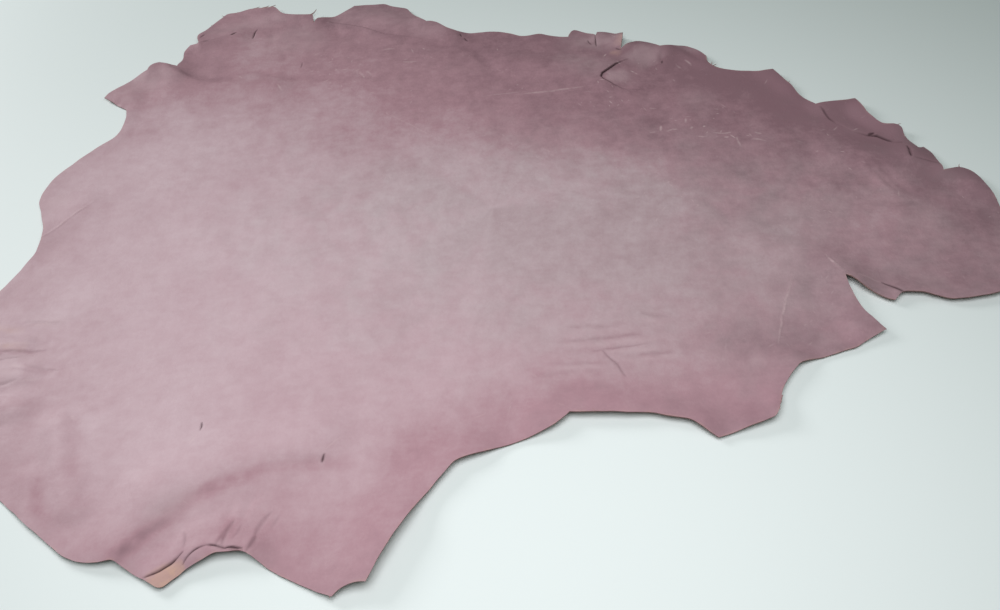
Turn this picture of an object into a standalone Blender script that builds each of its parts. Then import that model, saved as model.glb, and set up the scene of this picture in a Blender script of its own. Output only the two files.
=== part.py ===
"""A small tanned leather hide lying open on a flat surface, as one sheet.

+X runs from the rump to the neck, +Y from the near flank to the far flank and +Z is up. The hide rests
on z = 0, and the origin is the middle of its outline's box. The sheet is cut along a hand-trimmed edge
of shallow bays between tips, then raised where it folds and where its edge stands off the surface.
"""

import math
from typing import NamedTuple

import bmesh
import bpy
from mathutils import Matrix, Vector

MM = 0.001

THICKNESS = 1.2 * MM
INNER_STEP = 15 * MM  # spacing of the points inside the sheet
EDGE_STEP = 11 * MM  # longest run between two points of the trimmed edge
EDGE_CLEARANCE = 0.5  # how near the edge an inner point may be, as a share of INNER_STEP
HALF_LENGTH = 600 * MM  # the lattice reaches this far along X before it is trimmed
HALF_WIDTH = 486 * MM  # and this far along Y

HIDE_COLOR = (0.42, 0.27, 0.31, 1.0)
HIDE_ROUGHNESS = 0.55


class Bay(NamedTuple):
    """A run of the edge from the tip at (x, y) to the next row's tip, in millimetres.

    belly is how far the run bows out of the straight line, and below zero how far it bows in.
    """

    x: float
    y: float
    belly: float


class Fold(NamedTuple):
    """A low rounded ridge along a straight line, in millimetres, which fades out over its half width."""

    x0: float
    y0: float
    x1: float
    y1: float
    height: float
    half_width: float


# Each table runs counter-clockwise, seen from above, and starts where the one before it ends.
NEAR_FLANK = (
    #   x, y, belly
    Bay(-476, -362, 0),
    Bay(-399, -423, 4),
    Bay(-352, -429, 0),
    Bay(-335, -441, 0),
    Bay(-305, -457, 0),
    Bay(-284, -440, 0),
    Bay(-262, -429, 0),
    Bay(-236, -429, 3),
    Bay(-156, -473, -4),
    Bay(-127, -464, -4),
    Bay(-51, -350, 0),
    Bay(24, -325, 3),
    Bay(61, -304, 0),
    Bay(141, -310, 0),
    Bay(176, -319, 0),
    Bay(199, -339, 0),
    Bay(257, -322, 1),
    Bay(264, -308, -3),
    Bay(296, -260, -1),
    Bay(358, -243, 0),
)
FORELEG_AND_NECK = (
    #   x, y, belly
    Bay(396, -223, 0),
    Bay(380, -203, -2),
    Bay(374, -150, 0),
    Bay(380, -152, 4),
    Bay(418, -185, 0),
    Bay(428, -175, 0),
    Bay(452, -177, 0),
    Bay(475, -188, 2),
    Bay(529, -183, 6),
    Bay(562, -149, 2),
    Bay(581, -89, 2),
    Bay(583, -42, 1),
    Bay(580, -14, 1),
    Bay(575, 6, 2),
    Bay(560, 14, -1),
    Bay(541, 10, 1),
    Bay(541, 46, 0),
    Bay(535, 57, 0),
    Bay(527, 54, 0),
    Bay(517, 82, 1),
    Bay(518, 92, 0),
    Bay(512, 99, -1),
    Bay(497, 102, -3),
    Bay(479, 156, 0),
    Bay(427, 152, 0),
)
FAR_FLANK = (
    #   x, y, belly
    Bay(413, 175, 0),
    Bay(390, 231, -2),
    Bay(360, 235, -4),
    Bay(311, 252, -3),
    Bay(307, 269, 2),
    Bay(281, 298, -1),
    Bay(245, 294, 5),
    Bay(216, 314, 0),
    Bay(199, 305, 0),
    Bay(191, 298, 0),
    Bay(198, 331, 3),
    Bay(163, 347, 0),
    Bay(160, 339, 0),
    Bay(156, 345, -1),
    Bay(131, 358, 2),
    Bay(120, 341, -3),
    Bay(80, 353, -2),
    Bay(50, 350, 4),
    Bay(7, 365, 0),
    Bay(-23, 365, -6),
    Bay(-64, 383, 5),
    Bay(-86, 391, -4),
    Bay(-116, 439, -2),
    Bay(-152, 458, -2),
    Bay(-198, 454, -4),
)
HIND_LEG_AND_RUMP = (
    #   x, y, belly
    Bay(-229, 427, 1),
    Bay(-252, 424, 0),
    Bay(-256, 413, 0),
    Bay(-260, 434, -3),
    Bay(-307, 441, 0),
    Bay(-322, 462, -2),
    Bay(-359, 461, 0),
    Bay(-394, 455, 2),
    Bay(-425, 397, 3),
    Bay(-421, 371, 0),
    Bay(-434, 370, 1),
    Bay(-441, 357, 0),
    Bay(-438, 328, 0),
    Bay(-441, 313, 0),
    Bay(-470, 327, 3),
    Bay(-482, 307, 7),
    Bay(-531, 252, 0),
    Bay(-495, 227, -4),
    Bay(-496, 169, 0),
    Bay(-535, 123, 3),
    Bay(-560, 74, 1),
    Bay(-562, 47, 0),
    Bay(-553, 27, 0),
    Bay(-540, -4, -1),
    Bay(-539, -40, -2),
    Bay(-576, -126, 8),
    Bay(-584, -217, 6),
    Bay(-551, -291, 3),
)
OUTLINE = NEAR_FLANK + FORELEG_AND_NECK + FAR_FLANK + HIND_LEG_AND_RUMP

# Where the edge of the near flank stands off the surface.
NEAR_LIFTS = (
    #    x0, y0, x1, y1, height, half width
    Fold(-399, -423, -352, -430, 4, 35),
    Fold(-310, -443, -293, -431, 5, 28),
    Fold(-272, -420, -238, -427, 9, 34),
    Fold(-124, -452, -99, -411, 13, 62),
    Fold(-61, -357, -41, -346, 7, 48),
    Fold(50, -310, 91, -305, 8, 50),
    Fold(132, -308, 182, -324, 6, 42),
    Fold(234, -328, 256, -321, 5, 32),
    Fold(268, -300, 291, -266, 6, 38),
    Fold(378, -156, 381, -204, 8, 44),
    Fold(429, -176, 528, -184, 5, 34),
)
# Where the edge of the far flank curls and its flaps stand up.
FAR_CURLS = (
    #    x0, y0, x1, y1, height, half width
    Fold(579, -34, 557, 12, 5, 30),
    Fold(535, 20, 514, 54, 4, 30),
    Fold(437, 151, 478, 153, 5, 28),
    Fold(486, 133, 515, 94, 7, 28),
    Fold(402, 200, 388, 230, 4, 30),
    Fold(265, 296, 303, 274, 5, 34),
    Fold(204, 306, 243, 286, 7, 40),
    Fold(170, 336, 196, 324, 4, 24),
    Fold(202, 342, 195, 310, 4, 15),
    Fold(-85, 391, -52, 368, 6, 34),
    Fold(-190, 424, -120, 398, 7, 46),
    Fold(-340, 458, -262, 430, 4, 40),
    Fold(-420, 384, -370, 392, 6, 34),
    Fold(-476, 312, -446, 306, 7, 40),
    Fold(-526, 252, -498, 256, 4, 32),
)
# The soft folds in the body of the hide.
BODY_FOLDS = (
    #    x0, y0, x1, y1, height, half width
    Fold(-350, -405, -333, -374, 7, 46),
    Fold(-318, -352, -190, -312, 7, 52),
    Fold(-440, -285, -408, -372, 5, 30),
    Fold(-452, -345, -436, -396, 4, 26),
    Fold(-572, -172, -516, -184, 4, 26),
    Fold(-560, -222, -500, -214, 4, 28),
    Fold(-548, -268, -490, -258, 4, 26),
    Fold(-440, 262, -300, 262, 5, 40),
    Fold(-540, -10, -500, 40, 2, 36),
    Fold(40, 285, 120, 262, 5, 40),
    Fold(160, 228, 200, 262, 4, 30),
    Fold(430, 60, 500, 30, 5, 44),
    Fold(300, -90, 365, -120, 5, 40),
)
FOLDS = NEAR_LIFTS + FAR_CURLS + BODY_FOLDS


def clear_scene() -> None:
    """Removes everything that a new file starts with."""
    for obj in list(bpy.data.objects):
        bpy.data.objects.remove(obj, do_unlink=True)


def edge_points() -> list[Vector]:
    """The trimmed edge as points in metres, with each bay a shallow parabola from tip to tip."""
    points = []
    for bay, following in zip(OUTLINE, OUTLINE[1:] + OUTLINE[:1]):
        start = Vector((bay.x, bay.y)) * MM
        run = Vector((following.x, following.y)) * MM - start
        outward = Vector((run.y, -run.x)).normalized() * bay.belly * MM
        pieces = max(1, math.ceil(run.length / EDGE_STEP))
        for i in range(pieces):
            share = i / pieces
            points.append(start + run * share + outward * 4 * share * (1 - share))
    return points


def distance_to_run(point: Vector, start: Vector, end: Vector) -> float:
    """The distance in the plane from a point to the straight run between two others."""
    run = end - start
    share = min(1.0, max(0.0, (point - start).dot(run) / run.length_squared))
    return (point - start - run * share).length


def edge_distance(point: Vector, edge: list[Vector]) -> float:
    """The distance to the edge: above zero inside the hide, below zero outside it."""
    inside = False
    nearest = HALF_LENGTH
    for start, end in zip(edge, edge[1:] + edge[:1]):
        nearest = min(nearest, distance_to_run(point, start, end))
        if (start.y > point.y) != (end.y > point.y):
            crossing = start.x + (point.y - start.y) / (end.y - start.y) * (end.x - start.x)
            inside ^= point.x < crossing
    return nearest if inside else -nearest


def lift(point: Vector) -> float:
    """How far the hide's underside stands above the surface at a point in the plane."""
    height = 0.0
    for fold in FOLDS:
        start, end = Vector((fold.x0, fold.y0)) * MM, Vector((fold.x1, fold.y1)) * MM
        share = distance_to_run(point, start, end) / (fold.half_width * MM)
        if share < 1:
            height += fold.height * MM * (1 + math.cos(math.pi * share)) / 2
    return height


def trim_lattice(sheet: bmesh.types.BMesh, edge: list[Vector]) -> None:
    """Leaves the lattice's points that lie well inside the edge, in one piece with a simple border."""
    clearance = EDGE_CLEARANCE * INNER_STEP
    outside = [v for v in sheet.verts if edge_distance(v.co.xy, edge) < clearance]
    bmesh.ops.delete(sheet, geom=outside, context="VERTS")
    loose = [v for v in sheet.verts if not v.link_faces or sum(e.is_boundary for e in v.link_edges) > 2]
    while loose:
        bmesh.ops.delete(sheet, geom=loose, context="VERTS")
        loose = [v for v in sheet.verts if not v.link_faces or sum(e.is_boundary for e in v.link_edges) > 2]


def build_sheet() -> bpy.types.Mesh:
    """The hide's underside: a lattice trimmed to the edge, joined to it and raised at the folds."""
    edge = edge_points()
    sheet = bmesh.new()
    bmesh.ops.create_grid(
        sheet,
        x_segments=round(2 * HALF_LENGTH / INNER_STEP),
        y_segments=round(2 * HALF_WIDTH / INNER_STEP),
        size=1.0,
        matrix=Matrix.Diagonal((HALF_LENGTH, HALF_WIDTH, 1.0, 1.0)),
    )
    trim_lattice(sheet, edge)
    border = [e for e in sheet.edges if e.is_boundary]
    corners = [sheet.verts.new((p.x, p.y, 0.0)) for p in edge]
    trimmed = [sheet.edges.new(pair) for pair in zip(corners, corners[1:] + corners[:1])]
    bmesh.ops.triangle_fill(sheet, use_beauty=True, edges=border + trimmed)
    sheet.normal_update()
    bmesh.ops.reverse_faces(sheet, faces=[f for f in sheet.faces if f.normal.z < 0])
    bmesh.ops.triangulate(sheet, faces=sheet.faces[:])
    for vert in sheet.verts:
        vert.co.z = lift(vert.co.xy)
    xs, ys = [p.x for p in edge], [p.y for p in edge]
    middle = Vector((min(xs) + max(xs), min(ys) + max(ys), 0.0)) / 2
    bmesh.ops.translate(sheet, verts=sheet.verts[:], vec=-middle)
    mesh = bpy.data.meshes.new("hide")
    sheet.to_mesh(mesh)
    sheet.free()
    return mesh


def leather() -> bpy.types.Material:
    """Matt vegetable-tanned leather, a dusty mauve pink."""
    material = bpy.data.materials.new("leather")
    material.use_nodes = True
    shader = material.node_tree.nodes["Principled BSDF"]
    shader.inputs["Base Color"].default_value = HIDE_COLOR
    shader.inputs["Roughness"].default_value = HIDE_ROUGHNESS
    shader.inputs["Metallic"].default_value = 0.0
    return material


def main() -> None:
    clear_scene()
    collection = bpy.data.collections.new("leather_hide")
    bpy.context.scene.collection.children.link(collection)
    hide = bpy.data.objects.new("hide", build_sheet())
    collection.objects.link(hide)
    hide.data.materials.append(leather())
    hide.data.shade_smooth()
    # The underside stays where it rests, and the leather's thickness goes on above it.
    wall = hide.modifiers.new("thickness", "SOLIDIFY")
    wall.thickness = THICKNESS
    wall.offset = 1.0
    wall.use_even_offset = True


main()
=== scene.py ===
"""Looks of a small tanned leather hide lying open as one sheet, seen by someone standing at its near side.

The fixed frame gives the hide's place. The sheet here has the same outline and folds, on a finer lattice, with
the laps, creases, slits, puckers and torn fibres that are too small for the solid. Lengths in the tables are
millimetres in the cutting plan's axes: +X from the rump to the neck, +Y away from the viewer, +Z up.
"""

import logging
import math
from dataclasses import dataclass
from enum import IntEnum
from typing import Any, NamedTuple

import bmesh
import bpy
import numpy as np
from mathutils import Euler, Matrix, Vector, noise


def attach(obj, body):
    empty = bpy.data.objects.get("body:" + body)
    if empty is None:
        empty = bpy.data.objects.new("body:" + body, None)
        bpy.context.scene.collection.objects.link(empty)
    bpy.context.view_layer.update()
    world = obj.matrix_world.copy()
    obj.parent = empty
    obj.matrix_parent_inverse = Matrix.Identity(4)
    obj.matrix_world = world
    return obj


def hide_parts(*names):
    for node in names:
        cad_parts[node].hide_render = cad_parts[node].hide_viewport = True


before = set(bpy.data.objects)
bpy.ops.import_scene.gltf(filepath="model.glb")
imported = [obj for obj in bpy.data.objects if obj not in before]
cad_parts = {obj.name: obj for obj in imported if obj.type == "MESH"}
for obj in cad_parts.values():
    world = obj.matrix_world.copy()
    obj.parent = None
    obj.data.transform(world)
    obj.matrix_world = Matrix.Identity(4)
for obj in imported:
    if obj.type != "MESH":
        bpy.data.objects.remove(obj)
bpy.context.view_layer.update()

logging.basicConfig(level=logging.INFO, format="%(message)s")
log = logging.getLogger("leather_hide")

MM = 0.001
Color = tuple[float, float, float, float]


class Bay(NamedTuple):
    """A run of the edge from the tip at (x, y) to the next row's tip; belly is how far it bows outwards."""

    x: float
    y: float
    belly: float


class Fold(NamedTuple):
    """A low rounded ridge along a straight line, which fades out over its half width."""

    x0: float
    y0: float
    x1: float
    y1: float
    height: float
    half_width: float


class Step(NamedTuple):
    """A point of a lap's line, where the sheet on its left stands up by rise; gap is how dark the shade painted at its
    foot is.
    """

    x: float
    y: float
    rise: float
    gap: float


class Crease(NamedTuple):
    """A narrow groove, or a ridge where depth is below zero, that bows to its left and thins out at its ends.

    The gap column is how dark the shade painted at its bottom is.
    """

    x0: float
    y0: float
    x1: float
    y1: float
    bow: float
    half_width: float
    depth: float
    gap: float


class Rumple(NamedTuple):
    """A round area of small uneven lumps, with their height and their usual length along X and Y."""

    x: float
    y: float
    radius: float
    height: float
    wave_x: float
    wave_y: float


class Fibre(NamedTuple):
    """A torn fibre on the edge: its root, its direction and bend in degrees, and its length."""

    x: float
    y: float
    turn: float
    bend: float
    length: float


class Mark(NamedTuple):
    """A scar, stain, haze, painted shade or painted highlight in the dye, that bows to its left, with how strongly it
    shows.
    """

    x0: float
    y0: float
    x1: float
    y1: float
    bow: float
    half_width: float
    strength: float


# The edge runs counter-clockwise, seen from above.
NEAR_FLANK = (
    Bay(-476, -362, 0),
    Bay(-399, -423, 4),
    Bay(-352, -429, 0),
    Bay(-335, -441, 0),
    Bay(-305, -457, 0),
    Bay(-284, -440, 0),
    Bay(-262, -429, 0),
    Bay(-236, -429, 3),
    Bay(-156, -473, -4),
    Bay(-127, -464, -4),
    Bay(-51, -350, 0),
    Bay(24, -325, 3),
    Bay(61, -304, 0),
    Bay(141, -310, 0),
    Bay(176, -319, 0),
    Bay(199, -339, 0),
    Bay(257, -322, 1),
    Bay(264, -308, -3),
    Bay(296, -260, -1),
    Bay(358, -243, 0),
)
FORELEG_AND_NECK = (
    Bay(396, -223, 0),
    Bay(380, -203, -2),
    Bay(374, -150, 0),
    Bay(380, -152, 4),
    Bay(418, -185, 0),
    Bay(428, -175, 0),
    Bay(452, -177, 0),
    Bay(475, -188, 2),
    Bay(529, -183, 6),
    Bay(562, -149, 2),
    Bay(581, -89, 2),
    Bay(583, -42, 1),
    Bay(580, -14, 1),
    Bay(575, 6, 2),
    Bay(560, 14, -1),
    Bay(541, 10, 1),
    Bay(541, 46, 0),
    Bay(535, 57, 0),
    Bay(527, 54, 0),
    Bay(517, 82, 1),
    Bay(518, 92, 0),
    Bay(512, 99, -1),
    Bay(497, 102, -3),
    Bay(479, 156, 0),
    Bay(427, 152, 0),
)
FAR_FLANK = (
    Bay(413, 175, 0),
    Bay(390, 231, -2),
    Bay(360, 235, -4),
    Bay(311, 252, -3),
    Bay(307, 269, 2),
    Bay(281, 298, -1),
    Bay(245, 294, 5),
    Bay(216, 314, 0),
    Bay(199, 305, 0),
    Bay(191, 298, 0),
    Bay(198, 331, 3),
    Bay(163, 347, 0),
    Bay(160, 339, 0),
    Bay(156, 345, -1),
    Bay(131, 358, 2),
    Bay(120, 341, -3),
    Bay(80, 353, -2),
    Bay(50, 350, 4),
    Bay(7, 365, 0),
    Bay(-23, 365, -6),
    Bay(-64, 383, 5),
    Bay(-86, 391, -4),
    Bay(-116, 439, -2),
    Bay(-152, 458, -2),
    Bay(-198, 454, -4),
)
HIND_LEG_AND_RUMP = (
    Bay(-229, 427, 1),
    Bay(-252, 424, 0),
    Bay(-256, 413, 0),
    Bay(-260, 434, -3),
    Bay(-307, 441, 0),
    Bay(-322, 462, -2),
    Bay(-359, 461, 0),
    Bay(-394, 455, 2),
    Bay(-425, 397, 3),
    Bay(-421, 371, 0),
    Bay(-434, 370, 1),
    Bay(-441, 357, 0),
    Bay(-438, 328, 0),
    Bay(-441, 313, 0),
    Bay(-470, 327, 3),
    Bay(-482, 307, 7),
    Bay(-531, 252, 0),
    Bay(-495, 227, -4),
    Bay(-496, 169, 0),
    Bay(-535, 123, 3),
    Bay(-560, 74, 1),
    Bay(-562, 47, 0),
    Bay(-553, 27, 0),
    Bay(-540, -4, -1),
    Bay(-539, -40, -2),
    Bay(-576, -126, 8),
    Bay(-584, -217, 6),
    Bay(-551, -291, 3),
)
OUTLINE = NEAR_FLANK + FORELEG_AND_NECK + FAR_FLANK + HIND_LEG_AND_RUMP

NEAR_LIFTS = (
    Fold(-399, -423, -352, -430, 4, 35),
    Fold(-310, -443, -293, -431, 5, 28),
    Fold(-272, -420, -238, -427, 9, 34),
    Fold(-124, -452, -99, -411, 13, 62),
    Fold(-61, -357, -41, -346, 7, 48),
    Fold(50, -310, 91, -305, 8, 50),
    Fold(132, -308, 182, -324, 6, 42),
    Fold(234, -328, 256, -321, 5, 32),
    Fold(268, -300, 291, -266, 6, 38),
    Fold(378, -156, 381, -204, 8, 44),
    Fold(429, -176, 528, -184, 5, 34),
)
FAR_CURLS = (
    Fold(579, -34, 557, 12, 5, 30),
    Fold(535, 20, 514, 54, 4, 30),
    Fold(437, 151, 478, 153, 5, 28),
    Fold(486, 133, 515, 94, 7, 28),
    Fold(402, 200, 388, 230, 4, 30),
    Fold(265, 296, 303, 274, 5, 34),
    Fold(204, 306, 243, 286, 7, 40),
    Fold(170, 336, 196, 324, 4, 24),
    Fold(202, 342, 195, 310, 4, 15),
    Fold(-85, 391, -52, 368, 6, 34),
    Fold(-190, 424, -120, 398, 7, 46),
    Fold(-340, 458, -262, 430, 4, 40),
    Fold(-420, 384, -370, 392, 6, 34),
    Fold(-476, 312, -446, 306, 7, 40),
    Fold(-526, 252, -498, 256, 4, 32),
)
BODY_FOLDS = (
    Fold(-350, -405, -333, -374, 7, 46),
    Fold(-318, -352, -190, -312, 7, 52),
    Fold(-440, -285, -408, -372, 5, 30),
    Fold(-452, -345, -436, -396, 4, 26),
    Fold(-572, -172, -516, -184, 4, 26),
    Fold(-560, -222, -500, -214, 4, 28),
    Fold(-548, -268, -490, -258, 4, 26),
    Fold(-440, 262, -300, 262, 5, 40),
    Fold(-540, -10, -500, 40, 2, 36),
    Fold(40, 285, 120, 262, 5, 40),
    Fold(160, 228, 200, 262, 4, 30),
    Fold(430, 60, 500, 30, 5, 44),
    Fold(300, -90, 365, -120, 5, 40),
)
FOLDS = NEAR_LIFTS + FAR_CURLS + BODY_FOLDS

# Each lap is a line of steps, and the sheet on its left, seen along the line, lies over what is on its right.
PLEAT = (
    Step(188, 209, 0.2, 0.0),
    Step(170, 219, 0.8, 0.3),
    Step(158, 229, 1.6, 0.6),
    Step(154.5, 236, 2.0, 1.1),
    Step(157.5, 245, 2.4, 1.4),
    Step(167, 254, 2.6, 1.4),
    Step(179, 266, 2.0, 1.1),
    Step(188, 271, 1.0, 0.4),
    Step(199, 275, 0.2, 0.0),
)
RUMP_LAP = (
    Step(-360, 390, 0.2, 0.0),
    Step(-376, 386, 1.0, 0.25),
    Step(-390, 382.5, 1.8, 0.2),
    Step(-404, 377, 2.4, 0.5),
    Step(-421, 371, 2.8, 0.6),
)
NECK_ROLL = (
    Step(431, 147, 0.2, 0.0),
    Step(434, 138, 0.9, 0.7),
    Step(438, 124, 1.2, 0.7),
    Step(444, 114, 1.0, 0.15),
    Step(460, 97, 0.9, 0.05),
    Step(474, 87, 1.8, 0.5),
    Step(486, 84, 2.6, 1.0),
    Step(498, 73, 2.0, 0.9),
    Step(502, 70, 1.0, 0.2),
    Step(510, 67, 0.2, 0.2),
)
SHOULDER_STEP = (
    Step(-64, 350, 0.2, 0.0),
    Step(-111, 363, 0.8, 0.0),
    Step(-149, 373, 1.3, 0.0),
    Step(-180, 391, 1.8, 0.0),
    Step(-216, 406, 2.2, 0.1),
    Step(-232, 414, 1.6, 0.2),
)
LAPS = (PLEAT, RUMP_LAP, NECK_ROLL, SHOULDER_STEP)

CREASES = (
    # the slit, the curled lip and the puckers at the near flank's tip
    Crease(-322, -447, -289, -426, -2.5, 2.6, 3.0, 1.5),
    Crease(-296, -404, -290, -424, 1.5, 2.6, 0.6, 0.1),
    Crease(-289, -438, -268, -422, 3, 1.9, 1.6, 1.0),
    Crease(-270, -422, -250, -427, 1, 1.8, 1.4, 1.0),
    Crease(-253, -427, -237, -427, 1, 2.0, 1.4, 1.4),
    Crease(-251, -396, -256, -426, -1.5, 4.0, 1.3, 0.2),
    Crease(-258, -408, -262, -424, 1, 3.0, 0.8, 0.15),
    Crease(-243, -402, -248, -418, 1, 2.6, 0.6, 0.06),
    Crease(-218, -388, -229, -416, -3, 4.0, 1.1, 0.12),
    Crease(-228, -413, -234, -430, 1.5, 4.0, 1.3, 0.24),
    Crease(-211, -392, -219, -408, 1, 3, 0.5, 0.04),
    Crease(-256, -376, -260, -398, 1.5, 6, 0.9, 0),
    Crease(-236, -372, -243, -398, -2, 7, 0.9, 0),
    # the soft troughs behind the near flank and on the rump
    Crease(-350, -432, -210, -341, 20, 16, 1.6, 0),
    Crease(-240, -345, -150, -342, 3, 12, 1.4, 0),
    Crease(-437, -258, -394, -376, -4, 15, 2.0, 0),
    Crease(-448, -332, -422, -394, -3, 11, 1.5, 0),
    Crease(-536, -187, -482, -186, -2, 3.4, 0.8, 0.06),
    Crease(-540, -171, -484, -173, 2, 6, -0.9, 0),
    Crease(-538, -200, -508, -197, 1, 2.6, 0.6, 0.03),
    Crease(-522, -213, -482, -222, 3, 5, 0.7, 0),
    Crease(-560, -252, -505, -240, 5, 8, 0.8, 0),
    Crease(-520, -146, -470, -152, 2, 4, 0.6, 0.02),
    Crease(-500, -206, -462, -214, -2, 3.4, 0.6, 0.03),
    Crease(-540, -232, -500, -224, -3, 4, 0.8, 0.03),
    Crease(-440, -236, -405, -268, 5, 9, 1.3, 0),
    Crease(-530, -300, -488, -276, 4, 8, 0.7, 0),
    Crease(-508, -338, -470, -318, 3, 9, 0.6, 0),
    # the light line on the rump's small flap
    Crease(-538, -18, -491, 43, 1, 2.4, -0.7, 0),
    # the long fine ridge and the wrinkles before the foreleg
    Crease(326, -132, 283, -234, -3, 1.8, -0.45, 0),
    Crease(70, -194, 122, -196, 1, 4.0, 0.6, 0.02),
    Crease(60, -212, 148, -208, -1, 3.6, 0.6, 0.04),
    Crease(90, -227, 152, -222, 1, 2.6, 0.55, 0.05),
    Crease(140, -234, 176, -234, 0, 4.4, 0.6, 0.03),
    Crease(48, -240, 104, -242, 1, 4.0, 0.5, 0.01),
    Crease(28, -256, 76, -250, 0, 4.0, 0.5, 0.01),
    Crease(148, -180, 180, -188, 0, 4.6, 0.6, 0.02),
    Crease(102, -225, 123, -262, 1.5, 2.8, 0.9, 0.14),
    Crease(98, -210, 112, -226, 1, 1.8, 0.25, 0),
    Crease(416, 22, 446, -24, 3, 9, -1.1, 0),
    Crease(450, 40, 474, -20, -3, 8, -1.0, 0),
    Crease(470, 34, 500, -30, -3, 8, 1.0, 0),
    Crease(370, 30, 412, -10, 3, 10, -1.0, 0),
    # the armpit and the neck's rolled edge
    Crease(366, -120, 376, -149, -1, 2.2, -0.8, 0),
    Crease(411, -158, 431, -178, 1, 2.4, 1.2, 1.2),
    Crease(475, 86, 484, 89, 0, 3.4, 0.8, 1.3),
    Crease(513, 58, 511, 36, 1, 3.2, 2.0, 1.0),
    Crease(514, 36, 546, 20, 1, 3.5, 0.9, 0.1),
    # the far flank, from the neck to the shoulder
    Crease(276, 296, 309, 256, -3, 9, 2.0, 0.06),
    Crease(249, 290, 243, 262, -1, 6, 1.0, 0),
    Crease(244, 267, 243, 261, 0, 1.8, 0.6, 0.9),
    Crease(243, 264, 232, 236, -2, 9, 1.2, 0),
    Crease(178, 213, 226, 210, -2, 2.6, 0.4, 0.04),
    Crease(160, 341, 159, 314, -0.5, 1.7, 1.6, 0.95),
    Crease(184, 302, 192, 297, -1.5, 1.7, 1.4, 0.9),
    Crease(147, 332, 152, 319, 0, 1.8, 1.0, 0.6),
    Crease(-37, 361, -34, 355, 0, 1.9, 1.2, 0.85),
    Crease(-31, 353, -25, 345, 0, 2.0, 1.2, 0.85),
    Crease(-28, 338, 6, 262, 4, 14, 1.5, 0),
    # the shoulder and the rump's far corner
    Crease(-345, 382, -341, 409, 1, 1.9, 2.0, 1.1),
    Crease(-323, 421, -315, 352, 1, 12, 0.9, 0),
    Crease(-264, 315, -264, 300, 0, 1.4, 0.6, 0.4),
    Crease(-458, 326, -410, 290, -3, 6, 1.7, 0.08),
    Crease(-536, 250, -492, 228, 0, 16, 3.2, 0),
    Crease(-424, 296, -350, 279, -3, 12, 1.2, 0),
    Crease(-330, 304, -274, 273, -4, 13, 1.2, 0),
    Crease(-278, 276, -195, 277, -3, 12, 1.2, 0),
    Crease(-190, 282, -110, 262, -3, 10, 0.9, 0),
    Crease(-300, 352, -290, 318, 2, 9, 0.9, 0),
    Crease(-226, 398, -214, 366, 4, 10, 1.6, 0),
    Crease(-418, 373, -406, 376, 0, 2.8, 0.8, 1.2),
    Crease(-377, 387, -369, 394, 0, 2.8, 0.8, 1.2),
    Crease(-421, 383, -416, 393, 0, 2.6, 0.6, 0.9),
    # two short cuts in the near half
    Crease(-301, -287, -301, -298, 0.5, 1.7, 1.2, 0.95),
    Crease(-175, -332, -177, -341, 0, 1.9, 1.2, 0.95),
)

RUMPLES = (
    Rumple(-530, -165, 60, 2.2, 34, 12),
    Rumple(-520, -250, 80, 2.2, 36, 18),
    Rumple(-500, -320, 70, 1.4, 30, 16),
    Rumple(-250, -395, 60, 2.2, 12, 26),
    Rumple(-420, -330, 90, 1.8, 22, 50),
    Rumple(120, -215, 80, 0.9, 60, 9),
    Rumple(480, -40, 130, 3.0, 46, 26),
    Rumple(350, 110, 120, 1.6, 60, 22),
    Rumple(60, 290, 170, 1.8, 60, 18),
    Rumple(-200, 340, 150, 2.0, 60, 22),
    Rumple(-380, 330, 110, 2.0, 40, 24),
    Rumple(-500, 40, 80, 1.6, 26, 44),
)

FIBRES = (
    Fibre(-263, 432, 30, 55, 17),
    Fibre(-352, 460, 8, 20, 10),
    Fibre(-338, 460, 6, 25, 11),
    Fibre(-326, 462, 12, 20, 9),
    Fibre(-376, 456, 150, -10, 5),
    Fibre(-398, 448, 150, -20, 6),
    Fibre(-411, 424, 140, 20, 5),
    Fibre(311, 254, 60, 30, 7),
    Fibre(314, 252, 40, -40, 6),
    Fibre(404, 200, 30, 30, 4),
    Fibre(516, 97, 10, 20, 5),
    Fibre(562, 16, 80, -30, 5),
    Fibre(268, -300, -120, 20, 7),
    Fibre(266, -304, -100, -30, 8),
    Fibre(264, -308, -135, 40, 6),
    Fibre(262, -313, -110, 20, 5),
    Fibre(70, -304, -80, 30, 4),
    Fibre(84, -304, -60, -30, 5),
    Fibre(377, -150, -60, 40, 6),
    Fibre(-158, -472, -100, 20, 4),
)

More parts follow.
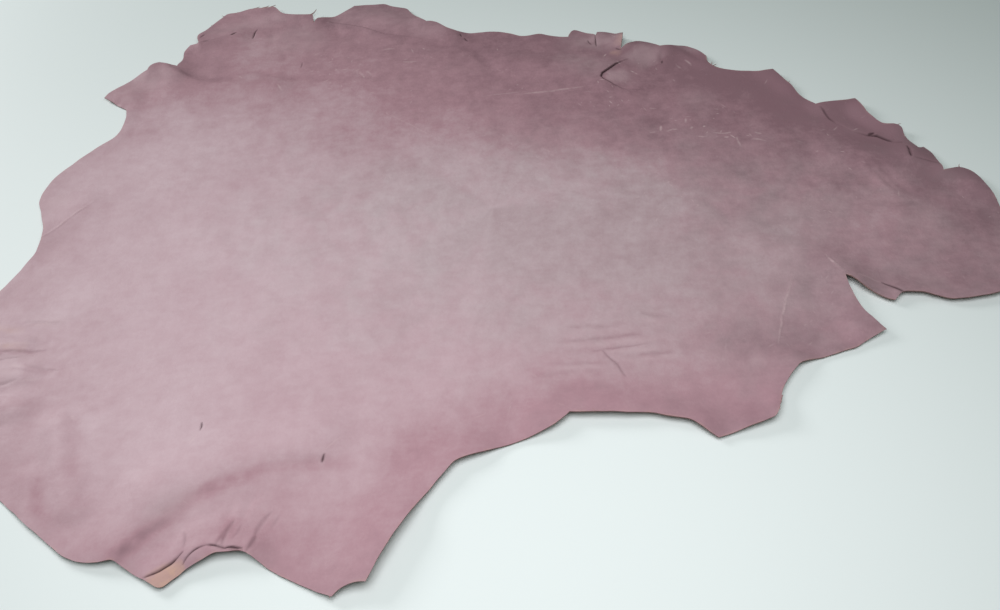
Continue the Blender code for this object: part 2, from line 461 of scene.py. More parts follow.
SCARS = (
    # two long scratches and the streak on the far half
    Mark(-141, 189, -60, 118, 2, 1.2, 0.45),
    Mark(-60, 118, 8, 47, 2, 1.4, 0.3),
    Mark(-12, 212, 60, 216, 1, 1.8, 0.35),
    Mark(35, 212, 132, 221, -2, 2.8, 0.7),
    # a scatter of healed nicks on the far flank before the neck
    Mark(218, 118, 221, 130, 0, 2.2, 0.9),
    Mark(203, 116, 213, 117, 0, 2.0, 0.8),
    Mark(226, 117, 239, 122, 1, 2.0, 0.75),
    Mark(252, 132, 255, 141, 0, 2.2, 0.9),
    Mark(258, 119, 261, 124, 0, 2.6, 1.0),
    Mark(274, 121, 277, 124, 0, 2.4, 0.9),
    Mark(284, 109, 308, 108, -2, 2.0, 0.8),
    Mark(296, 99, 302, 99, 0, 2.4, 1.0),
    Mark(312, 99, 314, 77, -1, 2.2, 0.8),
    Mark(327, 91, 348, 88, 2, 2.0, 0.7),
    Mark(336, 105, 345, 102, -1, 2.2, 0.8),
    Mark(264, 103, 273, 102, 0, 2.0, 0.75),
    # nicks behind the shoulder
    Mark(-180, 284, -172, 268, 0, 2.2, 0.9),
    Mark(-172, 286, -163, 274, 1, 2.2, 0.8),
    Mark(-150, 333, -132, 336, 1, 2.2, 0.8),
    Mark(-120, 303, -98, 302, -1, 2.2, 0.75),
    Mark(-292, 260, -286, 248, 0, 2.2, 0.8),
    Mark(-350, 288, -344, 280, 0, 2.2, 0.8),
    Mark(262, 262, 268, 250, 0, 2.4, 0.8),
    Mark(276, 268, 283, 254, 1, 2.2, 0.9),
    # scratches beside the short cuts, on the rump's flap and on the long fine ridge
    Mark(-302, -300, -308, -314, 0.5, 1.3, 0.6),
    Mark(-175, -330, -160, -314, 1, 1.2, 0.5),
    Mark(-538, -18, -491, 43, 1, 2.0, 0.5),
    Mark(-414, 375, -366, 389, 1.5, 1.8, 0.8),
    Mark(-434, -272, -428, -280, 0, 3, 0.5),
    Mark(-545, -258, -541, -266, 0, 3, 0.6),
    Mark(-530, -180, -500, -178, 1, 2.4, 0.5),
    Mark(-512, -152, -486, -149, 1, 2.2, 0.5),
    Mark(-516, -206, -492, -209, -1, 2.6, 0.45),
    Mark(-498, -228, -478, -224, 1, 2.2, 0.4),
    Mark(326, -134, 283, -233, -3, 1.6, 0.6),
    Mark(26, -250, 33, -256, 0, 1.2, 0.4),
    Mark(362, -114, 377, -148, -1, 1.5, 0.8),
    Mark(384, -147, 416, -163, 2, 2.0, 0.35),
    Mark(-32, -300, -20, -296, 0, 1.2, 0.4),
    Mark(4, -288, 1, -300, 0.5, 1.2, 0.4),
)
TROUGH_SHADE_AND_STAINS = (
    # darker dye along the troughs and creases, which is painted shade, and broader darker patches of the dye
    Mark(-352, -434, -206, -342, 20, 14, 0.8),
    Mark(-358, -440, -300, -384, 6, 13, 1.1),
    Mark(-245, -348, -140, -343, 3, 12, 0.45),
    Mark(-480, -140, -440, -280, 0, 88, 0.5),
    Mark(-130, -348, -56, -306, 0, 42, 0.36),
    Mark(180, -222, 340, -222, 0, 38, 0.32),
    Mark(440, 50, 400, -70, 0, 44, 0.42),
    Mark(-480, 178, -410, 168, 0, 34, 0.35),
    Mark(-436, -262, -394, -376, -4, 15, 0.42),
    Mark(-448, -336, -424, -390, -3, 11, 0.4),
    Mark(-548, -188, -475, -187, -1, 6, 0.7),
    Mark(-536, -262, -462, -258, 6, 16, 0.5),
    Mark(-560, -300, -500, -320, -6, 24, 0.5),
    Mark(-560, -262, -520, -262, -4, 14, 0.5),
    Mark(-252, -392, -256, -420, 0, 10, 0.35),
    Mark(278, 293, 307, 257, -3, 10, 0.9),
    Mark(188, 206, 240, 232, -6, 14, 0.35),
    Mark(-240, 432, -226, 400, 0, 20, 0.9),
    Mark(-300, 354, -290, 316, 2, 8, 0.3),
    Mark(-323, 421, -315, 352, 1, 10, 0.35),
    Mark(-226, 402, -110, 356, 3, 13, 0.35),
    Mark(-458, 325, -350, 279, -12, 12, 0.35),
    Mark(-334, 304, -195, 275, -14, 14, 0.35),
    Mark(-28, 338, 6, 262, 4, 16, 0.3),
    Mark(395, -48, 500, -40, 4, 10, 0.25),
    Mark(300, -60, 370, -52, 3, 12, 0.3),
    Mark(66, -194, 126, -196, 1, 5, 0.16),
    Mark(58, -212, 148, -208, -1, 5, 0.22),
    Mark(90, -227, 152, -222, 1, 3, 0.25),
    Mark(138, -234, 178, -234, 0, 6, 0.25),
    Mark(46, -240, 106, -242, 1, 5, 0.14),
    Mark(24, -256, 78, -250, 0, 6, 0.14),
    Mark(146, -180, 184, -188, 0, 6, 0.2),
    Mark(102, -225, 123, -262, 1.5, 3, 0.2),
    Mark(46, -276, 104, -268, 2, 16, 0.22),
)
HAZES_AND_HIGHLIGHTS = (
    # paler places, where the wax has dried or the skin is worn, and painted highlights beside the wrinkles
    Mark(-570, -170, -490, -168, 2, 12, 0.9),
    Mark(-570, -215, -500, -218, 2, 20, 1.0),
    Mark(-520, -146, -470, -150, 0, 16, 0.9),
    Mark(-530, -196, -480, -200, 0, 10, 0.9),
    Mark(-566, -250, -535, -246, 0, 14, 0.7),
    Mark(-575, -290, -550, -270, 0, 16, 0.7),
    Mark(-230, 436, -50, 376, 4, 46, 1.0),
    Mark(100, 334, 214, 318, 0, 36, 1.0),
    Mark(90, 286, 176, 254, 0, 44, 0.8),
    Mark(-345, 356, -230, 372, 0, 52, 0.8),
    Mark(250, 186, 304, 174, 0, 34, 0.6),
    Mark(-336, -388, -280, -372, 0, 24, 0.7),
    Mark(160, 234, 196, 240, 0, 20, 1.6),
    Mark(-530, 262, -430, 300, 0, 44, 0.8),
    Mark(208, 300, 236, 262, 0, 42, 1.4),
    Mark(170, 244, 200, 232, 0, 18, 0.7),
    Mark(262, 303, 302, 278, 0, 9, 1.2),
    Mark(455, -12, 470, -22, 0, 22, 0.5),
    Mark(385, -20, 420, -34, 0, 24, 0.35),
    Mark(250, -246, 262, -262, 0, 20, 0.6),
    Mark(-420, 398, -270, 440, 4, 30, 0.9),
    Mark(-330, 372, -250, 392, 0, 40, 1.1),
    Mark(-556, 40, -520, 60, 0, 26, 0.7),
    # painted highlights beside the wrinkles before the foreleg
    Mark(62, -202, 136, -203, 1, 4, 0.9),
    Mark(64, -219, 168, -215, -1, 5, 1.0),
    Mark(104, -230, 160, -228, 1, 3, 0.9),
    Mark(118, -243, 178, -241, 1, 5, 0.8),
    Mark(36, -247, 100, -248, 1, 4, 0.9),
    Mark(140, -190, 176, -196, 1, 4.6, 0.9),
)
CORES = (
    # places where the tan core shows through
    Mark(-316, -455, -286, -440, 0, 15, 2.0),
    Mark(200, 334, 192, 302, 0, 15, 0.5),
    Mark(176, 296, 190, 288, 0, 8, 0.4),
    Mark(-345, 462, -322, 462, 0, 6, 0.5),
    Mark(-572, -180, -505, -182, 0, 9, 0.35),
    Mark(-565, -150, -515, -158, 0, 8, 0.25),
)


class Side(IntEnum):
    """Which finish a face of the sheet has, by its material slot."""

    GRAIN = 0
    FLESH = 1
    CUT = 2


@dataclass(frozen=True)
class SheetSizes:
    """Sizes of the leather sheet and of the lattice that it is built on."""

    thickness: float = 1.2 * MM
    half_length: float = 600 * MM
    half_width: float = 486 * MM
    lattice: float = 8.2 * MM
    coarse_edge: float = 11 * MM
    fine_edge: float = 2.2 * MM
    tremor: float = 0.9 * MM
    rounding: int = 6
    wander: float = 1.2 * MM
    clearance: float = 1.3 * MM
    rim_band: float = 24 * MM
    lap_reach: float = 26 * MM
    lap_face: float = 1.6 * MM
    flat: tuple[float, float] = (1.173, 0.935)
    area: float = 0.737


@dataclass(frozen=True)
class CameraSizes:
    """Where the viewer stands, in the middle of the hide's box, and how the view is framed."""

    place: tuple[float, float, float] = (0.0017, -0.7553, 0.72)
    down: float = math.radians(50)
    roll: float = math.radians(3.2)
    sensor: float = 36.0
    lens: float = 31.18


def run_distances(
    points: np.ndarray, start: np.ndarray, end: np.ndarray, bow: float = 0.0
) -> tuple[np.ndarray, np.ndarray]:
    """Measures points against a run that is straight, or bows to its left as a parabola.

    Args:
        points: One row of x and y for each point.
        start: Where the run starts.
        end: Where the run ends.
        bow: How far the run's middle stands off the straight line.

    Returns:
        Each point's distance to the run, and the share of the run at its nearest place.
    """
    run = end - start
    length = np.hypot(*run)
    ahead = (points - start) @ run / length
    aside = (points - start) @ np.array((-run[1], run[0])) / length
    share = np.clip(ahead / length, 0.0, 1.0)
    return np.hypot(ahead - share * length, aside - bow * 4 * share * (1 - share)), share


def ends(row: Any) -> tuple[np.ndarray, np.ndarray]:
    """Where a table's row starts and ends, in metres."""
    return np.array((row.x0, row.y0)) * MM, np.array((row.x1, row.y1)) * MM


def dome(share: np.ndarray) -> np.ndarray:
    """A rounded profile that is 1 in the middle and 0 from a share of 1 outwards."""
    return (1 + np.cos(np.pi * np.minimum(share, 1.0))) / 2


def stroke(points: np.ndarray, row: Crease | Mark, wander: float) -> tuple[np.ndarray, np.ndarray]:
    """Finds the points on a row's stroke, which strays a little from its line and thins out at its ends.

    Args:
        points: One row of x and y for each point.
        row: The stroke's row in its table.
        wander: How far it strays.

    Returns:
        The numbers of the points near it, and how strongly it shows at each of them.
    """
    half_width = row.half_width * MM
    near = np.flatnonzero(run_distances(points, *ends(row))[0] < half_width + abs(row.bow) * MM + 2 * wander)
    drift = np.array([tuple(noise.noise_vector((x * 80, y * 80, row.x0)).xy) for x, y in points[near]])
    moved = points[near] + wander * drift.reshape(-1, 2)
    distance, share = run_distances(moved, *ends(row), row.bow * MM)
    taper = 4 * share * (1 - share)
    slim = 0.25 + 0.75 * np.sqrt(taper) if row.half_width < 5 else np.ones(len(near))
    uneven = np.array([0.85 + 0.6 * noise.noise(Vector((x * 110, y * 110, row.y0))) for x, y in points[near]])
    return near, dome(distance / (half_width * slim)) * np.minimum(slim, np.sqrt(taper)) * np.clip(uneven, 0.4, 1.0)


def paint(points: np.ndarray, rows: tuple[Mark, ...], wander: float) -> np.ndarray:
    """Lays marks over each other.

    Args:
        points: One row of x and y for each point.
        rows: The marks.
        wander: How far each one strays from its line.

    Returns:
        The strongest mark's strength at each point.
    """
    total = np.zeros(len(points))
    for row in rows:
        near, shown = stroke(points, row, wander)
        total[near] = np.maximum(total[near], shown * row.strength)
    return np.minimum(total, 1.0)


def smooth(share: np.ndarray) -> np.ndarray:
    """Turns a share into a soft rise from 0 to 1."""
    share = np.clip(share, 0.0, 1.0)
    return share * share * (3 - 2 * share)


class Edge:
    """The trimmed edge of the hide, as a closed run of points in metres."""

    def __init__(self, step: float, tremor: float = 0.0, rounding: int = 0) -> None:
        """Sets the edge out.

        Args:
            step: The longest run between two points.
            tremor: How far a point may stray, as a hand-held knife does.
            rounding: How often its shallow corners are rounded off.
        """
        points = []
        for bay, following in zip(OUTLINE, OUTLINE[1:] + OUTLINE[:1]):
            start = Vector((bay.x, bay.y)) * MM
            run = Vector((following.x, following.y)) * MM - start
            outward = Vector((run.y, -run.x)).normalized()
            pieces = max(1, math.ceil(run.length / step))
            for i in range(pieces):
                share = i / pieces
                bow = bay.belly * MM * 4 * share * (1 - share)
                place = start + run * share
                if i:
                    bow += tremor * noise.noise(Vector((place.x, place.y, 0.3)) * 170)
                    bow += tremor * noise.noise(Vector((place.x, place.y, 1.7)) * 60)
                points.append(place + outward * bow)
        self.points = np.array([tuple(p) for p in points])
        for _ in range(rounding):
            back, ahead = (np.roll(self.points, shift, axis=0) - self.points for shift in (1, -1))
            straight = -np.sum(back * ahead, axis=1) / (np.hypot(*back.T) * np.hypot(*ahead.T))
            self.points += smooth((straight - 0.6) / 0.25)[:, None] * (back + ahead) / 4

    def middle(self) -> Vector:
        """The middle of the edge's box."""
        low, high = self.points.min(0), self.points.max(0)
        return Vector((*((low + high) / 2), 0.0))

    def depths(self, points: np.ndarray) -> np.ndarray:
        """Measures how far inside the edge each point lies.

        Args:
            points: One row of x and y for each point.

        Returns:
            The distance to the edge, below zero for a point outside it.
        """
        nearest = np.full(len(points), 1.0)
        inside = np.zeros(len(points), bool)
        for start, end in zip(self.points, np.roll(self.points, -1, axis=0)):
            nearest = np.minimum(nearest, run_distances(points, start, end)[0])
            if start[1] != end[1]:
                between = (start[1] > points[:, 1]) != (end[1] > points[:, 1])
                crossing = start[0] + (points[:, 1] - start[1]) / (end[1] - start[1]) * (end[0] - start[0])
                inside ^= between & (points[:, 0] < crossing)
        return np.where(inside, nearest, -nearest)


class SheetForm:
    """The height of the sheet's underside at any place, made of folds, laps, creases and lumps."""

    def __init__(self, sizes: SheetSizes) -> None:
        """Keeps the sizes that the form is made from."""
        self.sizes = sizes

    def folds(self, points: np.ndarray) -> np.ndarray:
        """Adds up the soft ridges.

        Args:
            points: One row of x and y for each point.

        Returns:
            The height of each point.
        """
        height = np.zeros(len(points))
        for fold in FOLDS:
            height += fold.height * MM * dome(run_distances(points, *ends(fold))[0] / (fold.half_width * MM))
        return height

    def laps(self, points: np.ndarray) -> tuple[np.ndarray, np.ndarray]:
        """Adds up the steps where the sheet lies over itself.

        Args:
            points: One row of x and y for each point.

        Returns:
            The height of each point, and how dark the shade painted at the step's foot is there.
        """
        height, dark = np.zeros(len(points)), np.zeros(len(points))
        for line in LAPS:
            nearest = np.full(len(points), np.inf)
            side, rise, gap, beyond = (np.zeros(len(points)) for _ in range(4))
            for number, (here, there) in enumerate(zip(line, line[1:])):
                start, end = np.array((here.x, here.y)) * MM, np.array((there.x, there.y)) * MM
                distance, share = run_distances(points, start, end)
                along = (end - start) / np.hypot(*(end - start))
                offset = (points - start) @ np.array((-along[1], along[0]))
                closer = distance < nearest - 1e-7
                tied = (np.abs(distance - nearest) <= 1e-7) & (np.abs(offset) > np.abs(side))
                taken = closer | tied
                side[taken] = offset[taken]
                rise[taken] = ((here.rise + (there.rise - here.rise) * share) * MM)[taken]
                gap[taken] = (here.gap + (there.gap - here.gap) * share)[taken]
                before = -((points - start) @ along) if number == 0 else np.zeros(len(points))
                after = (points - end) @ along if number == len(line) - 2 else np.zeros(len(points))
                beyond[taken] = np.maximum(0, np.maximum(before, after))[taken]
                nearest[taken] = distance[taken]
            signed = np.sign(side) * nearest
            up = smooth(signed / self.sizes.lap_face + 0.5)
            down = 1 - smooth(signed / self.sizes.lap_reach)
            present = 1 - smooth(beyond / (6 * MM))
            height += rise * up * down * present
            foot = dome(np.abs(signed / self.sizes.lap_face + 0.3) / 1.2)
            dark = np.maximum(dark, gap * present * foot)
        return height, dark

    def creases(self, points: np.ndarray) -> tuple[np.ndarray, np.ndarray]:
        """Finds the deepest groove and the highest fine ridge at each place.

        Args:
            points: One row of x and y for each point.

        Returns:
            How deep each point lies in its groove, and how dark the shade painted in the groove is there.
        """
        groove, ridge, gap = (np.zeros(len(points)) for _ in range(3))
        for row in CREASES:
            near, shown = stroke(points, row, self.sizes.wander)
            groove[near] = np.maximum(groove[near], row.depth * MM * shown)
            ridge[near] = np.maximum(ridge[near], -row.depth * MM * shown)
            gap[near] = np.maximum(gap[near], row.gap * shown)
        return groove - ridge, gap

    def lumps(self, points: np.ndarray, depths: np.ndarray) -> np.ndarray:
        """Adds the unevenness that any skin has, and more of it in the rumpled areas and along the edge.

        Args:
            points: One row of x and y for each point.
            depths: How far inside the edge each point lies.

        Returns:
            The height of each point, which is never below zero.
        """
        height = np.array([1.0 + 1.0 * noise.noise(Vector((x * 9, y * 11, 3.1))) for x, y in points])
        wave = np.array([0.6 + 0.9 * noise.noise(Vector((x * 30, y * 30, 7.7))) for x, y in points])
        height += np.maximum(wave, 0) * 1.3 * (1 - smooth(depths / (20 * MM)))
        for area in RUMPLES:
            reach = np.hypot(points[:, 0] / MM - area.x, points[:, 1] / MM - area.y) / area.radius
            near = np.flatnonzero(reach < 1)
            places = points[near] / MM / (area.wave_x, area.wave_y)
            bumps = [noise.fractal(Vector((x, y, area.x)), 1.0, 2.0, 2) for x, y in places]
            height[near] += area.height * (0.5 + 0.5 * np.array(bumps)) * (1 - smooth(reach[near]))
        return height * MM

    def heights(self, points: np.ndarray, depths: np.ndarray) -> np.ndarray:
        """The underside's height at each place, never below the surface that it rests on."""
        height = self.folds(points) + self.laps(points)[0] + self.lumps(points, depths)
        return np.maximum(height - self.creases(points)[0], 0.0)

    def fineness(self, points: np.ndarray, depths: np.ndarray) -> np.ndarray:
        """Says how often the lattice is halved at each place.

        Args:
            points: One row of x and y for each point.
            depths: How far inside the edge each point lies.

        Returns:
            A count from 0 to 3 for each point.
        """
        level = np.where(depths < self.sizes.rim_band, 1, 0)
        for area in RUMPLES:
            near = np.hypot(points[:, 0] / MM - area.x, points[:, 1] / MM - area.y) < area.radius * 0.8
            level[near & (min(area.wave_x, area.wave_y) < 20)] = 1
        lines = [(ends(row), row.bow * MM, row.half_width * MM) for row in CREASES + SCARS]
        for line in LAPS:
            for here, there in zip(line, line[1:]):
                run = np.array((here.x, here.y)) * MM, np.array((there.x, there.y)) * MM
                lines.append((run, 0.0, 1.5 * MM))
        for run, bow, half_width in lines:
            distance = run_distances(points, *run, bow)[0] - half_width
            level[(distance < 6 * MM) & (level < 1)] = 1
            if half_width < 9 * MM:
                level[(distance < 3 * MM) & (level < 2)] = 2
            if half_width < 5 * MM:
                level[distance < 1 * MM] = 3
        return level


class HideSheet:
    """The hide as one thin sheet, cut along its edge and raised at its folds."""

    def __init__(self, sizes: SheetSizes, finishes: tuple[bpy.types.Material, ...]) -> None:
        """Builds the sheet.

        Args:
            sizes: The sheet's sizes.
            finishes: The materials of the grain side, the flesh side and the cut edge.
        """
        self.sizes = sizes
        self.edge = Edge(sizes.fine_edge, sizes.tremor, sizes.rounding)
        self.plain_edge = Edge(sizes.coarse_edge)
        self.form = SheetForm(sizes)
        self.middle = self.plain_edge.middle()
        self.object = self.thicken(self.flat_sheet(), finishes)

    def places(self, verts: Any) -> np.ndarray:
        """The x and y of some vertices, one row each."""
        return np.array([(v.co.x, v.co.y) for v in verts])

    def refine(self, sheet: bmesh.types.BMesh) -> None:
        """Halves the lattice near the edge, the creases and the laps.

        Args:
            sheet: The flat lattice.
        """
        for level in (1, 2, 3):
            sheet.faces.ensure_lookup_table()
            middles = np.array([tuple(f.calc_center_median().xy) for f in sheet.faces])
            need = self.form.fineness(middles, self.plain_edge.depths(middles)) >= level
            edges = list(dict.fromkeys(e for i in np.flatnonzero(need) for e in sheet.faces[i].edges))
            bmesh.ops.subdivide_edges(sheet, edges=edges, cuts=1, use_grid_fill=True)

    def trim(self, sheet: bmesh.types.BMesh, edge: Edge, clearance: float) -> None:
        """Leaves the points that lie well inside the edge, in one piece with a simple border.

        Args:
            sheet: The flat lattice.
            edge: The edge that it is trimmed to.
            clearance: How near the edge a point may be.
        """
        depths = edge.depths(self.places(sheet.verts))
        loose = [v for v, depth in zip(sheet.verts, depths) if depth < clearance]
        while loose:
            bmesh.ops.delete(sheet, geom=loose, context="VERTS")
            loose = [v for v in sheet.verts if not v.link_faces or sum(e.is_boundary for e in v.link_edges) > 2]

    def flat_sheet(self) -> bpy.types.Mesh:
        """The sheet's underside, cut flat and then raised, with the masks that its finish reads.

        Returns:
            An open mesh in the hide's place.
        """
        sizes = self.sizes
        sheet = bmesh.new()
        bmesh.ops.create_grid(
            sheet,
            x_segments=round(2 * sizes.half_length / sizes.lattice),
            y_segments=round(2 * sizes.half_width / sizes.lattice),
            size=1.0,
            matrix=Matrix.Diagonal((sizes.half_length, sizes.half_width, 1.0, 1.0)),
        )
        self.trim(sheet, self.plain_edge, -2 * sizes.lattice)
        self.refine(sheet)
        self.trim(sheet, self.edge, sizes.clearance)
        border = [e for e in sheet.edges if e.is_boundary]
        corners = [sheet.verts.new((x, y, 0.0)) for x, y in self.edge.points]
        cut = [sheet.edges.new(pair) for pair in zip(corners, corners[1:] + corners[:1])]
        bmesh.ops.triangle_fill(sheet, use_beauty=True, edges=border + cut)
        sheet.normal_update()
        bmesh.ops.reverse_faces(sheet, faces=[f for f in sheet.faces if f.normal.z < 0])
        points = self.places(sheet.verts)
        depths = np.maximum(self.edge.depths(points), 0.0)
        for vert, height in zip(sheet.verts, self.form.heights(points, depths)):
            vert.co.z = height
        bmesh.ops.translate(sheet, verts=sheet.verts[:], vec=-self.middle)
        mesh = bpy.data.meshes.new("leather_sheet")
        sheet.to_mesh(mesh)
        sheet.free()
        masks = {
            "rim": depths,
            # painted shade at the feet of the laps and at the bottoms of the creases
            "gap": np.clip(np.maximum(self.form.creases(points)[1], self.form.laps(points)[1]), 0.0, 1.0),
            "scar": paint(points, SCARS, sizes.wander),
            # painted shade along the troughs and creases, and darker patches of the dye
            "shade_and_stain": paint(points, TROUGH_SHADE_AND_STAINS, 3 * sizes.wander),
            "haze_and_highlight": paint(points, HAZES_AND_HIGHLIGHTS, 3 * sizes.wander),
            "core": paint(points, CORES, 2 * sizes.wander),
        }
        for name, values in masks.items():
            mask = mesh.attributes.new(name, "FLOAT", "POINT")
            mask.data.foreach_set("value", values.astype(np.float32))
        return mesh

    def thicken(self, mesh: bpy.types.Mesh, finishes: tuple[bpy.types.Material, ...]) -> bpy.types.Object:
        """Gives the sheet its thickness above the underside, and its three finishes.

        Args:
            mesh: The sheet's underside.
            finishes: The materials, in the order of Side.

        Returns:
            The finished sheet, with no modifier left on it.
        """
        draft = bpy.data.objects.new("leather_sheet", mesh)
        bpy.context.scene.collection.objects.link(draft)
        for finish in finishes:
            mesh.materials.append(finish)
        mesh.shade_smooth()
        wall = draft.modifiers.new("thickness", "SOLIDIFY")
        wall.thickness = self.sizes.thickness
        wall.offset = 1.0
        wall.material_offset = Side.FLESH
        wall.material_offset_rim = Side.CUT
        shown = draft.evaluated_get(bpy.context.evaluated_depsgraph_get())
        draft.data = bpy.data.meshes.new_from_object(shown)
        draft.modifiers.clear()
        draft.data.set_sharp_from_angle(angle=math.radians(60))
        return draft

    def top(self, x: float, y: float) -> float:
        """The height of the middle of the leather at a place in millimetres, in metres."""
        point = np.array([(x, y)]) * MM
        return float(self.form.heights(point, np.zeros(1))[0]) + self.sizes.thickness / 2


class EdgeFibres:
    """Torn fibres that stand out of the cut edge, as one piece."""

    def __init__(self, sheet: HideSheet, finish: bpy.types.Material) -> None:
        """Builds the fibres.

        Args:
            sheet: The sheet that they grow from.
            finish: Their material.
        """
        strands = bmesh.new()
        for row in FIBRES:
            self.strand(strands, row, sheet.top(row.x, row.y))
        bmesh.ops.translate(strands, verts=strands.verts[:], vec=-sheet.middle)
        mesh = bpy.data.meshes.new("edge_fibres")
        strands.to_mesh(mesh)
        strands.free()
        mesh.materials.append(finish)
        mesh.shade_smooth()
        self.object = bpy.data.objects.new("edge_fibres", mesh)
        bpy.context.scene.collection.objects.link(self.object)

    def strand(self, strands: bmesh.types.BMesh, row: Fibre, height: float) -> None:
        """Adds one fibre that thins towards its tip.

        Args:
            strands: What the fibre is added to.
            row: The fibre's place, direction and length.
            height: How high its root is.
        """
        pieces = 6
        step = row.length * MM / pieces
        heading = math.radians(row.turn)
        place = Vector((row.x, row.y, 0.0)) * MM + Vector((0, 0, height))
        place -= Vector((math.cos(heading), math.sin(heading), 0)) * 1.5 * MM
        turned = Matrix.Translation(place) @ Matrix.Rotation(heading, 4, "Z") @ Matrix.Rotation(math.pi / 2, 4, "Y")
        radius = (0.45 + 0.04 * row.length) * MM
        made = bmesh.ops.create_circle(strands, cap_ends=True, segments=6, radius=radius, matrix=turned)
        rim = list(dict.fromkeys(e for v in made["verts"] for e in v.link_edges))
        for number in range(pieces):
            grown = bmesh.ops.extrude_edge_only(strands, edges=rim)["geom"]
            verts = [g for g in grown if isinstance(g, bmesh.types.BMVert)]
            rim = [g for g in grown if isinstance(g, bmesh.types.BMEdge)]
            bend = math.radians(row.bend) / pieces
            ahead = Vector((math.cos(heading), math.sin(heading), 0.12)) * step
            bmesh.ops.translate(strands, verts=verts, vec=ahead)
            centre = sum((v.co for v in verts), Vector()) / len(verts)
            bmesh.ops.rotate(strands, verts=verts, cent=centre, matrix=Matrix.Rotation(bend, 3, "Z"))
            thinner = 0.86 if number < pieces - 1 else 0.4
            around = Matrix.Translation(-centre)
            bmesh.ops.scale(strands, verts=verts, vec=(thinner,) * 3, space=around)
            heading += bend
        bmesh.ops.contextual_create(strands, geom=rim)
        bmesh.ops.recalc_face_normals(strands, faces=strands.faces[:])


class Graph:
    """Adds nodes to a node tree and links them."""

    def __init__(self, tree: bpy.types.NodeTree) -> None:
        """Keeps the tree that nodes are added to."""
        self.tree = tree

    def add(self, kind: str, settings: dict[str, Any] | None = None, **inputs: Any) -> bpy.types.Node:
        """Adds one node.

        Args:
            kind: The node's type.
            settings: Properties of the node.
            inputs: A value or a socket for each named input, with _ for a space.

        Returns:
            The new node.
        """
        node = self.tree.nodes.new(kind)
        for name, value in (settings or {}).items():
            setattr(node, name, value)
        for name, value in inputs.items():
            self.feed(node.inputs[name.replace("_", " ")], value)
        return node

    def feed(self, socket: bpy.types.NodeSocket, value: Any) -> None:
        """Links a socket to an input, or sets the input's value."""
        if isinstance(value, bpy.types.NodeSocket):
            self.tree.links.new(value, socket)
        else:
            socket.default_value = value

    def math(self, operation: str, *values: Any, clamp: bool = False) -> bpy.types.NodeSocket:
        """Adds a math node.

        Args:
            operation: What it works out.
            values: Its inputs, each a number or a socket.
            clamp: Whether the result stays between 0 and 1.

        Returns:
            Its result.
        """
        node = self.add("ShaderNodeMath", {"operation": operation, "use_clamp": clamp})
        for socket, value in zip(node.inputs, values):
            self.feed(socket, value)
        return node.outputs[0]

    def vector(self, operation: str, *values: Any) -> bpy.types.Node:
        """Adds a vector math node with the given inputs."""
        node = self.add("ShaderNodeVectorMath", {"operation": operation})
        for socket, value in zip(node.inputs, values):
            self.feed(socket, value)
        return node

    def ramp(self, value: Any, low: float, high: float, bottom: float = 0.0, top: float = 1.0) -> bpy.types.NodeSocket:
        """Maps a value softly from one range to another.

        Args:
            value: The socket that is mapped.
            low: The value that gives bottom.
            high: The value that gives top.
            bottom: The result at low.
            top: The result at high.

        Returns:
            The mapped value.
        """
        node = self.add("ShaderNodeMapRange", {"interpolation_type": "SMOOTHSTEP"})
        for name, given in zip(("Value", "From Min", "From Max", "To Min", "To Max"), (value, low, high, bottom, top)):
            self.feed(node.inputs[name], given)
        return node.outputs["Result"]

    def blend(self, share: Any, below: Any, above: Any) -> bpy.types.NodeSocket:
        """Mixes two colours.

        Args:
            share: How much of the second colour there is.
            below: The first colour.
            above: The second colour.

        Returns:
            The mixed colour.
        """
        node = self.add("ShaderNodeMix", {"data_type": "RGBA", "clamp_factor": True})
        self.feed(node.inputs[0], share)
        self.feed(node.inputs[6], below)
        self.feed(node.inputs[7], above)
        return node.outputs[2]

    def use(self, group: bpy.types.NodeTree, **inputs: Any) -> bpy.types.NodeSocket:
        """Adds a group node.

        Args:
            group: The group's tree.
            inputs: A value or a socket for each named input, with _ for a space.

        Returns:
            The group's only output.
        """
        node = self.add("ShaderNodeGroup", {"node_tree": group})
        for name, value in inputs.items():
            self.feed(node.inputs[name.replace("_", " ")], value)
        return node.outputs[0]


class Effect:
    """A shared shader effect: a node group with named inputs and one output."""

    name = "effect"
    output = "Mask"
    inputs: dict[str, float | tuple[float, float, float]] = {}

    def __init__(self) -> None:
        """Makes the group and its sockets, and fills it in."""
        self.tree = bpy.data.node_groups.new(self.name, "ShaderNodeTree")
        for name, value in self.inputs.items():
            kind = "NodeSocketVector" if isinstance(value, tuple) else "NodeSocketFloat"
            self.tree.interface.new_socket(name=name, in_out="INPUT", socket_type=kind).default_value = value
        self.tree.interface.new_socket(name=self.output, in_out="OUTPUT", socket_type="NodeSocketFloat")
        graph = Graph(self.tree)
        given = self.tree.nodes.new("NodeGroupInput")
        result = self.tree.nodes.new("NodeGroupOutput")
        graph.feed(result.inputs[0], self.fill(graph, {s.name: s for s in given.outputs if s.name}))

    def fill(self, graph: Graph, given: dict[str, bpy.types.NodeSocket]) -> bpy.types.NodeSocket:
        """Adds the nodes of the effect and returns its result."""
        raise NotImplementedError


